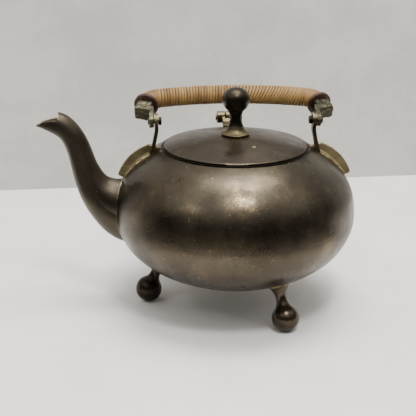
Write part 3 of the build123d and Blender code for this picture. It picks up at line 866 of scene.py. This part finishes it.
def ear_toe(side_name, side, body, material):
    """The low inner end of an ear, carried past the post to the seat ring."""
    half = EAR_THICKNESS / 2
    rings = []
    steps, corners = 10, 12
    for step in range(steps + 1):
        out = EAR_TOE_INNER + (EAR_TOE_OUTER - EAR_TOE_INNER) * step / steps
        x = POT_X + side * out
        low = body.ray_cast(Vector((x, 0, ABOVE_POT)), DOWN)[0].z - EAR_TOE_SUNK
        high = EAR_TOE_LOW + (EAR_TOE_HIGH - EAR_TOE_LOW) * math.sin(step / steps * math.pi / 2)
        ring = []
        for corner in range(corners):
            angle = TURN * corner / corners
            across = math.copysign(abs(math.cos(angle)) ** 0.5, math.cos(angle)) * half
            up = (math.copysign(abs(math.sin(angle)) ** 0.5, math.sin(angle)) + 1) / 2
            ring.append(Vector((x, across, low + (high - low) * up)))
        rings.append(ring)
    name = "ear_toe_" + side_name
    link(name, skin(name, rings, closed=False), material, "pot")


def vent_rim(material):
    """The bright worn rim of the lid's steam hole."""
    _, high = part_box("lid_plate")
    centre = Vector((POT_X + VENT_PLACE[0], VENT_PLACE[1], high.z + ABOVE_LID))
    lid = surface_of("lid_plate")
    path = []
    steps = 24
    for step in range(steps):
        angle = TURN * step / steps
        above = centre + Vector((math.cos(angle), math.sin(angle), 0)) * VENT_RIM_RADIUS
        path.append(lid.ray_cast(above, DOWN)[0])
    piece = bead("vent_rim", path, VENT_RIM_THICK, True, material, uneven=0.8)
    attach(piece, "lid")


def foot_seam(name, body, material):
    """The line of brazing round the top of a foot."""
    foot = surface_of(name)
    mesh = nodes[name].data
    top_height = max(v.co.z for v in mesh.vertices)
    upper = [v.co for v in mesh.vertices if v.co.z > top_height - FOOT_TOP_DEPTH]
    centre = sum(upper, Vector()) / len(upper)
    path = []
    steps = 48
    for step in range(steps):
        angle = TURN * step / steps
        out = Vector((math.cos(angle), math.sin(angle), 0)) * FOOT_TOP_REACH
        start = centre + out + Vector((0, 0, FOOT_TOP_DROP))
        path.append(meeting_point(foot, body, start))
    bead(name + "_seam", smoothed(path, True), FOOT_SEAM_THICK, True, material, uneven=0.5)


# Stage and light.


def stage_material(name, colour, darker, scale):
    """A matt, faintly smudged surface for the table and the wall."""
    material, tree, shader = new_material(name)
    place = position(tree)
    smudge = spread(tree, cloud(tree, place, scale, 7.0, 0.68), 0.38, 0.62)
    tree.links.new(blend(tree, smudge, colour, darker), shader.inputs["Base Color"])
    shader.inputs["Roughness"].default_value = 0.75
    shader.inputs["Specular IOR Level"].default_value = 0.15
    return material, tree, shader


def dim_far_front(tree, shader):
    """The pot mirrors a dark room where the table would stretch far in front of it."""
    place = position(tree)
    forward = node(tree, "ShaderNodeSeparateXYZ", {0: place}).outputs[1]
    round_pot = near(tree, place, (POT_X, 0.0, 0.0), MIRRORED_TABLE_REACH)
    far = times(tree, spread(tree, round_pot, 0.30, 0.12), spread(tree, forward, 0.06, -0.04))
    mirrored = node(tree, "ShaderNodeLightPath").outputs["Is Glossy Ray"]
    bright = shader.inputs["Base Color"].links[0].from_socket
    dimmed = blend(tree, times(tree, far, mirrored), bright, TABLE_UNLIT)
    tree.links.new(dimmed, shader.inputs["Base Color"])


def plane(name, corners, material):
    """A flat piece of the stage, which isn't part of the pot."""
    mesh = bpy.data.meshes.new(name)
    mesh.from_pydata(corners, [], [(0, 1, 2, 3)])
    mesh.materials.append(material)
    made = bpy.data.objects.new(name, mesh)
    bpy.context.scene.collection.objects.link(made)


def add_stage():
    """A white table top, and a pale wall that can be seen through from behind."""
    reach = STAGE_REACH
    material, tree, shader = stage_material("table_top", TABLE_PALE, TABLE_SMUDGE, 9.0)
    dim_far_front(tree, shader)
    corners = [(-reach, -reach, 0), (reach, -reach, 0), (reach, reach, 0), (-reach, reach, 0)]
    plane("table_top", corners, material)
    material, tree, shader = stage_material("wall", WALL_PALE, WALL_SMUDGE, 14.0)
    behind = node(tree, "ShaderNodeNewGeometry").outputs["Backfacing"]
    clear = node(tree, "ShaderNodeBsdfTransparent")
    both = {0: behind, 1: shader.outputs[0], 2: clear.outputs[0]}
    mixed = node(tree, "ShaderNodeMixShader", both)
    output = next(n for n in tree.nodes if n.type == "OUTPUT_MATERIAL")
    tree.links.new(mixed.outputs[0], output.inputs[0])
    left, right = (floor_point(pixel) for pixel in WALL_FOOT_PIXELS)
    along = (right - left).normalized() * reach
    up = Vector((0, 0, WALL_HEIGHT))
    middle = (left + right) / 2
    corners = [middle - along, middle + along, middle + along + up, middle - along + up]
    plane("wall", corners, material)


def aimed_lamp(name, place, target, size, power, colour):
    """A flat lamp that faces its target."""
    data = bpy.data.lights.new(name, "AREA")
    data.shape = "RECTANGLE"
    data.size, data.size_y = size
    data.energy = power
    data.color = colour
    lamp = bpy.data.objects.new(name, data)
    lamp.location = place
    lamp.rotation_euler = (Vector(target) - Vector(place)).to_track_quat("-Z", "Y").to_euler()
    bpy.context.scene.collection.objects.link(lamp)


def glint_lamp(name, body, pixel, size, power):
    """A window placed so that the body mirrors it at a pixel of the photograph."""
    place, normal = spot_on(body, pixel)
    to_eye = (EYE - place).normalized()
    ray = normal * (2 * normal.dot(to_eye)) - to_eye
    aimed_lamp(name, place + ray * WINDOW_DISTANCE, place, size, power, WINDOW_TINT)


def add_light(body):
    """Two windows, a ceiling lamp, and a room that is dark low down and bright above."""
    glint_lamp("window_main", body, MAIN_GLINT_PIXEL, MAIN_WINDOW_SIZE, MAIN_WINDOW_POWER)
    glint_lamp("window_side", body, SIDE_GLINT_PIXEL, SIDE_WINDOW_SIZE, SIDE_WINDOW_POWER)
    aimed_lamp("ceiling", CEILING_PLACE, (0.0, 0.0, 0.0), CEILING_SIZE, CEILING_POWER, CEILING_TINT)
    world = bpy.data.worlds.new("room")
    bpy.context.scene.world = world
    world.use_nodes = True
    tree = world.node_tree
    tree.nodes.clear()
    ray = node(tree, "ShaderNodeTexCoord").outputs["Generated"]
    height = node(tree, "ShaderNodeSeparateXYZ", {0: ray}).outputs[2]
    room = blend(tree, spread(tree, height, 0.26, 0.92), ROOM_LOW, ROOM_HIGH)
    seen = node(tree, "ShaderNodeLightPath").outputs["Is Camera Ray"]
    shown = blend(tree, seen, room, BACKDROP)
    light = node(tree, "ShaderNodeBackground", {"Color": shown, "Strength": 1.0})
    node(tree, "ShaderNodeOutputWorld", {"Surface": light.outputs[0]})


def paint_solids(materials):
    """Every solid takes its slot's finish, or its own."""
    for solid in nodes.values():
        for place in solid.material_slots:
            place.material = materials[place.material.name.split(".")[0]]
    for name, finish in SPECIAL_FINISHES.items():
        nodes[name].material_slots[0].material = materials[finish]


def main():
    """The dressed pot, in the photograph's light."""
    add_camera()
    body = surface_of(*[name for name in nodes if name.startswith("body_")])
    materials = slot_materials(body)
    paint_solids(materials)
    cane_underlay(materials["binding"])
    cane_winding(materials["cane"])
    for name, (finish, body_name, slot_name, voxel, lump, grain) in CASTINGS.items():
        cast_copy(name, materials[finish], body_name, voxel, lump, grain)
    brazing = solder_material()
    old_seam = seam_material()
    spout_seam(body, old_seam)
    for side_name, side in SIDES:
        ear_beads(side_name, side, body, brazing)
    for side_name, side in SIDES:
        ear_toe(side_name, side, body, materials["ear"])
    vent_rim(brazing)
    lip_rim(materials["spout"])
    for name in ("foot_spout", "foot_front", "foot_rear"):
        foot_seam(name, body, old_seam)
    add_stage()
    add_light(body)


main()
